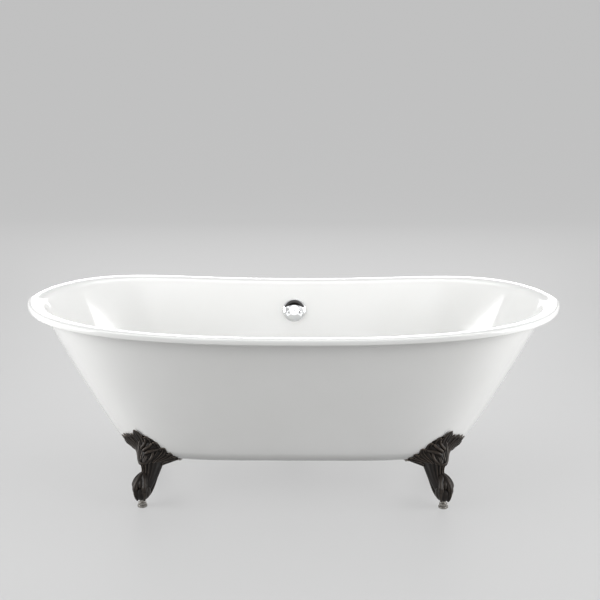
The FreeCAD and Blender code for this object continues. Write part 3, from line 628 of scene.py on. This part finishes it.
def fingers(bm):
    """Rounded lobes that sweep from the plate's edge back over the knee."""
    for rows in (
        ((2, 226, 3.0, 2.6), (1, 216, 4.4, 4.0), (-3, 206, 5.2, 4.8), (-8, 197, 5.2, 5.0),
         (-10, 190, 3.6, 3.6)),
        ((20, 214, 3.0, 2.6), (17, 206, 4.2, 4.0), (11, 199, 4.8, 4.6), (4, 193, 4.8, 4.6),
         (-1, 187, 3.4, 3.4)),
        ((40, 196, 2.8, 2.6), (34, 192, 4.2, 4.0), (26, 190, 5.0, 4.8), (16, 186, 5.0, 4.8),
         (8, 180, 3.6, 3.6)),
    ):
        limb(bm, on_leaf(rows, 6.0), leaf_up, steps=8, around=24, round_tips=True)


def curls(bm):
    """Small rolled tips along the plate's lower edge."""
    for side, z, size in ((34, 158, 6.0), (46, 152, 5.4), (57, 150, 4.6)):
        out = plate_out(side, z, 0.8)
        rows = [(out + 1.0, side - size, z + size, 2.4, 2.4),
                (out + 4.5, side - 0.3 * size, z + 0.2 * size, 3.2, 3.2),
                (out + 6.5, side + 0.5 * size, z - 0.5 * size, 3.4, 3.4),
                (out + 5.0, side + size, z - 0.1 * size, 2.8, 2.8),
                (out + 4.5, side + 0.6 * size, z + 0.4 * size, 1.8, 1.8)]
        limb(bm, rows, leaf_up, steps=6, around=16, round_tips=True)


LUG_REACH = 165.0
LUG_LOW = 123.0
LUG_HIGH = 133.0
LUG_INSET = 0.2                  # taken off the lug's top and off its underside
LUG_RADIUS = 22.5
LUG_ROOT = (-70, 20)             # where it leaves the leg, and half its width there


def lug(bm):
    """The flat ear under the tub that the stud holds."""
    middle = (LUG_LOW + LUG_HIGH) / 2
    half = (LUG_HIGH - LUG_LOW) / 2 - LUG_INSET
    outline = []
    for degrees in np.linspace(90, 270, 25):
        angle = math.radians(degrees)
        outline.append((-LUG_REACH + LUG_RADIUS * math.cos(angle), LUG_RADIUS * math.sin(angle)))
    outline += [(LUG_ROOT[0], -LUG_ROOT[1]), LUG_ROOT]
    low = [bm.verts.new((x, y, middle - half)) for x, y in outline]
    high = [bm.verts.new((x, y, middle + half)) for x, y in outline]
    bm.faces.new(low)
    bm.faces.new(high[::-1])
    for i in range(len(outline)):
        j = (i + 1) % len(outline)
        bm.faces.new((low[i], high[i], high[j], low[j]))


SEAT_GAP = 0.3                   # between the casting and the tub's wall
TUB_UNDERSIDE = 142.0
BLOCK_SIDES = (-150.0, 110.0)
BLOCK_LOW = 0.2                  # its first row on the wall, above the underside
BLOCK_HEIGHT = 140.0
BLOCK_BACK = -400.0


def tub_block():
    """The tub's lower corner as a full block, grown by the seat gap: what a foot is cut to."""
    sides = np.linspace(*BLOCK_SIDES, 66)
    heights = TUB_UNDERSIDE + BLOCK_LOW + BLOCK_HEIGHT * np.linspace(0.0, 1.0, 60) ** 2
    bm = bmesh.new()
    face, back = [], []
    for side in sides:
        reach = [wall_out(side, z) for z in heights]
        low = TUB_UNDERSIDE - SEAT_GAP
        face.append([bm.verts.new((reach[0] + SEAT_GAP, side, low))]
                    + [bm.verts.new((out + SEAT_GAP, side, z)) for out, z in zip(reach, heights)])
        back.append([bm.verts.new((BLOCK_BACK, side, z)) for z in (low, *heights)])
    for i in range(len(sides) - 1):
        for k in range(len(heights)):
            bm.faces.new((face[i][k], face[i + 1][k], face[i + 1][k + 1], face[i][k + 1]))
            bm.faces.new((back[i][k], back[i][k + 1], back[i + 1][k + 1], back[i + 1][k]))
        for k in (0, -1):
            bm.faces.new((face[i][k], back[i][k], back[i + 1][k], face[i + 1][k]))
    for i in (0, -1):
        for k in range(len(heights)):
            bm.faces.new((face[i][k], face[i][k + 1], back[i][k + 1], back[i][k]))
    return new_piece("tub_block", bm)


def cut_by(piece, cutter):
    """Takes the cutter away from the piece, and removes it."""

    def cut(target):
        taken = target.modifiers.new("cut", "BOOLEAN")
        taken.operation = "DIFFERENCE"
        taken.solver = "MANIFOLD"
        taken.object = cutter

    modified(piece, cut)
    bpy.data.objects.remove(cutter)


def drill(piece, cutter_rows):
    """Cuts upright round holes: rows of (x, y, low, high, radius) in millimetres."""
    for x, y, low, high, radius in cutter_rows:
        bm = bmesh.new()
        bmesh.ops.create_cone(bm, segments=48, radius1=radius, radius2=radius, depth=high - low,
                              cap_ends=True,
                              matrix=Matrix.Translation((x, y, (low + high) / 2)))
        cut_by(piece, new_piece("cutter", bm))


# Cuts in a foot: out, sideways, bottom, top, radius
FOOT_CUTS = (
    (0, 0, -20, 24, 60),             # ends the claws and the heel flat, over the leveller
    (0, 0, -5, 58, 6.1),             # hole for the leveller's screw
    (-LUG_REACH, 0, 110, 140, 5.6),  # hole for the stud
)


def foot_mesh():
    """The foot in its own frame. Its holes come before the seat on the tub, whose thin edges
    would spoil a later cut."""
    bm = bmesh.new()
    leg(bm)
    ball(bm, BALL_CENTRE, BALL_RADIUS)
    for degrees in TALON_ANGLES:
        talon(bm, TALON, degrees, DRAWN_BACK)
    for degrees in WEB_ANGLES:
        web(bm, degrees)
    talon(bm, HEEL, 180.0, 0.0)
    lug(bm)
    leaf_plate(bm)
    for row in LOBES:
        lobe(bm, *row)
    strap(bm)
    fingers(bm)
    curls(bm)
    piece = new_piece("foot_sculpt", bm)

    def remesh(target):
        grid = target.modifiers.new("grid", "REMESH")
        grid.mode = "VOXEL"
        grid.voxel_size = VOXEL
        soft = target.modifiers.new("soft", "SMOOTH")
        soft.factor = 0.5
        soft.iterations = 2

    modified(piece, remesh)
    drill(piece, FOOT_CUTS)
    cut_by(piece, tub_block())
    mesh = piece.data
    bpy.data.objects.remove(piece)
    return mesh


def build_feet():
    base = foot_mesh()
    for corner, (flip_x, flip_y) in CORNERS.items():
        mesh = base.copy()
        for vertex in mesh.vertices:
            place = to_world(vertex.co)
            vertex.co = (flip_x * place.x, flip_y * place.y, place.z)
        if flip_x * flip_y < 0:
            mesh.flip_normals()
        mesh.shade_smooth()
        piece = new_piece("sculpted_foot_" + corner, mesh)
        dress(piece, "bronzed_iron")
        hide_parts("foot_" + corner)
        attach(piece, "tub")


build_feet()

# ------------------------------------------------------------------ overflow plate's screws

# In millimetres: radius, and how far behind the crown of the head
SHANK_RADIUS = 2.5
SCREW_PROFILE = (
    (0.4, 0.0), (2.4, 0.25), (4.3, 0.9), (5.5, 1.8), (5.9, 2.6), (5.9, 4.4), (SHANK_RADIUS, 4.4),
)
SLOT_LENGTH = 14.0               # longer than the head is wide, so it is open at both ends
SLOT_WIDTH = 1.7
SLOT_DEPTH = 1.6
SLOT_TURNS = {-1: -5.0, 1: -24.0}  # by side of the plate, in degrees from upright


def plate_screws():
    """Two slotted screws with oval heads, on the axes of the CAD screws."""
    points = np.array([v.co[:] for v in nodes["overflow_screws"].data.vertices])
    around = 48
    bm, slots = bmesh.new(), bmesh.new()
    for side, turn in SLOT_TURNS.items():
        own = points[points[:, 0] * side > 0]
        middle = own.mean(axis=0)
        axis = np.linalg.svd(own - middle)[2][0]
        axis *= -np.sign(axis[1])
        reach = (own - middle) @ axis
        crown = Vector(middle + axis * reach.max())
        length = (reach.max() - reach.min()) / MM
        place = Matrix.Translation(crown) @ Vector(axis).to_track_quat("Z", "X").to_matrix().to_4x4()
        rings = []
        for radius, back in (*SCREW_PROFILE, (SHANK_RADIUS, length)):
            ring = []
            for k in range(around):
                angle = 2 * math.pi * k / around
                spot = Vector((radius * math.cos(angle), radius * math.sin(angle), -back))
                ring.append(bm.verts.new(place @ (spot * MM)))
            rings.append(ring)
        for first, second in zip(rings, rings[1:]):
            for k in range(around):
                j = (k + 1) % around
                bm.faces.new((first[k], second[k], second[j], first[j]))
        bm.faces.new(rings[0])
        bm.faces.new(rings[-1][::-1])
        size = Matrix.Diagonal((SLOT_LENGTH * MM, SLOT_WIDTH * MM, 2 * SLOT_DEPTH * MM, 1.0))
        bmesh.ops.create_cube(slots, size=1.0,
                              matrix=place @ Matrix.Rotation(math.radians(turn), 4, "Z") @ size)
    piece = new_piece("plate_screws", bm)
    cut_by(piece, new_piece("slots", slots))
    piece.data.shade_smooth()
    piece.data.set_sharp_from_angle(angle=math.radians(40))
    dress(piece, "chrome")
    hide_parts("overflow_screws")
    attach(piece, "tub")


plate_screws()

# ------------------------------------------------------------------ stage, camera and light


def seen_directly(n):
    """1 for what the camera, a reflection or glass shows, 0 for light between surfaces."""
    path = n.add("ShaderNodeLightPath")
    mirrored = n.math("MAXIMUM", path.outputs["Is Glossy Ray"], path.outputs["Is Transmission Ray"])
    return n.math("MAXIMUM", path.outputs["Is Camera Ray"], mirrored)


def stage_floor():
    """A pale bowl: the floor curves up into a low wall all round, and is darker far out."""
    flat_radius, bend_radius, wall_top, around = 5.0, 2.5, 3.6, 96
    fade_start, fade_end = 1.3, 3.0
    profile = [(flat_radius, 0.0)]
    for degrees in range(5, 91, 5):
        angle = math.radians(degrees)
        profile.append((flat_radius + bend_radius * math.sin(angle),
                        bend_radius * (1 - math.cos(angle))))
    profile.append((flat_radius + bend_radius, wall_top))
    corners = []
    for radius, z in profile:
        for k in range(around):
            turn = 2 * math.pi * k / around
            corners.append((radius * math.cos(turn), radius * math.sin(turn), z))
    faces = [tuple(range(around))]
    for ring in range(len(profile) - 1):
        for k in range(around):
            first, second = ring * around + k, ring * around + (k + 1) % around
            faces.append((second, first, first + around, second + around))
    mesh = bpy.data.meshes.new("floor")
    mesh.from_pydata(corners, [], faces)
    mesh.shade_smooth()
    floor = new_piece("floor", mesh)
    material, n, shader = new_material("pale_floor")
    tone = n.mix_colour(n.noise(1.5, 3.0), (0.165, 0.165, 0.165), (0.175, 0.175, 0.175))
    geometry = n.add("ShaderNodeNewGeometry")
    distance = n.add("ShaderNodeVectorMath", operation="LENGTH")
    n.link(geometry.outputs["Position"], distance.inputs[0])
    far = n.remap(distance.outputs["Value"], fade_start, fade_end, 0.0, 1.0)
    n.link(n.mix_colour(far, tone, (0.06, 0.06, 0.06)), shader.inputs["Base Color"])
    glow = n.remap(far, 0.0, 1.0, 0.44, 0.5)
    n.link(n.math("MULTIPLY", seen_directly(n), glow), shader.inputs["Emission Strength"])
    shader.inputs["Emission Color"].default_value = (1.0, 1.0, 1.0, 1.0)
    shader.inputs["Roughness"].default_value = 0.6
    shader.inputs["Specular IOR Level"].default_value = 0.2
    mesh.materials.append(material)


def camera():
    forward = Vector((math.sin(YAW) * math.cos(PITCH), math.cos(YAW) * math.cos(PITCH),
                      -math.sin(PITCH)))
    right = Vector((math.cos(YAW), -math.sin(YAW), 0))
    up = right.cross(forward)
    c, s = math.cos(ROLL), math.sin(ROLL)
    right, up = right * c + up * s, up * c - right * s
    data = bpy.data.cameras.new("camera")
    data.sensor_width = SENSOR_WIDTH
    data.lens = SENSOR_WIDTH * FOCAL_PIXELS / PICTURE_PIXELS
    data.clip_end = 100.0
    eye = bpy.data.objects.new("camera", data)
    bpy.context.scene.collection.objects.link(eye)
    turn = Matrix((right, up, -forward)).transposed()
    eye.matrix_world = Matrix.Translation(EYE) @ turn.to_4x4()
    bpy.context.scene.camera = eye


def softbox(name, place, target, width, height, power):
    data = bpy.data.lights.new(name, "AREA")
    data.shape = "RECTANGLE"
    data.size = width
    data.size_y = height
    data.energy = power
    lamp = bpy.data.objects.new(name, data)
    bpy.context.scene.collection.objects.link(lamp)
    away = Vector(place) - Vector(target)
    lamp.rotation_euler = away.to_track_quat("Z", "Y").to_euler()
    lamp.location = place
    lamp.visible_camera = False


def light():
    for name, values in LAMPS.items():
        softbox(name, *values)
    world = bpy.data.worlds.new("studio")
    bpy.context.scene.world = world
    world.use_nodes = True
    n = Nodes(world.node_tree)
    background = world.node_tree.nodes["Background"]
    background.inputs["Color"].default_value = (0.9, 0.92, 0.94, 1.0)
    background.inputs["Strength"].default_value = 0.28
    seen = n.add("ShaderNodeBackground")
    seen.inputs["Color"].default_value = (1.0, 1.0, 1.0, 1.0)
    seen.inputs["Strength"].default_value = 0.52
    mix = n.add("ShaderNodeMixShader")
    n.link(seen_directly(n), mix.inputs[0])
    n.link(background.outputs[0], mix.inputs[1])
    n.link(seen.outputs[0], mix.inputs[2])
    n.link(mix.outputs[0], world.node_tree.nodes["World Output"].inputs["Surface"])


stage_floor()
camera()
light()
bpy.context.scene.view_settings.view_transform = "Standard"
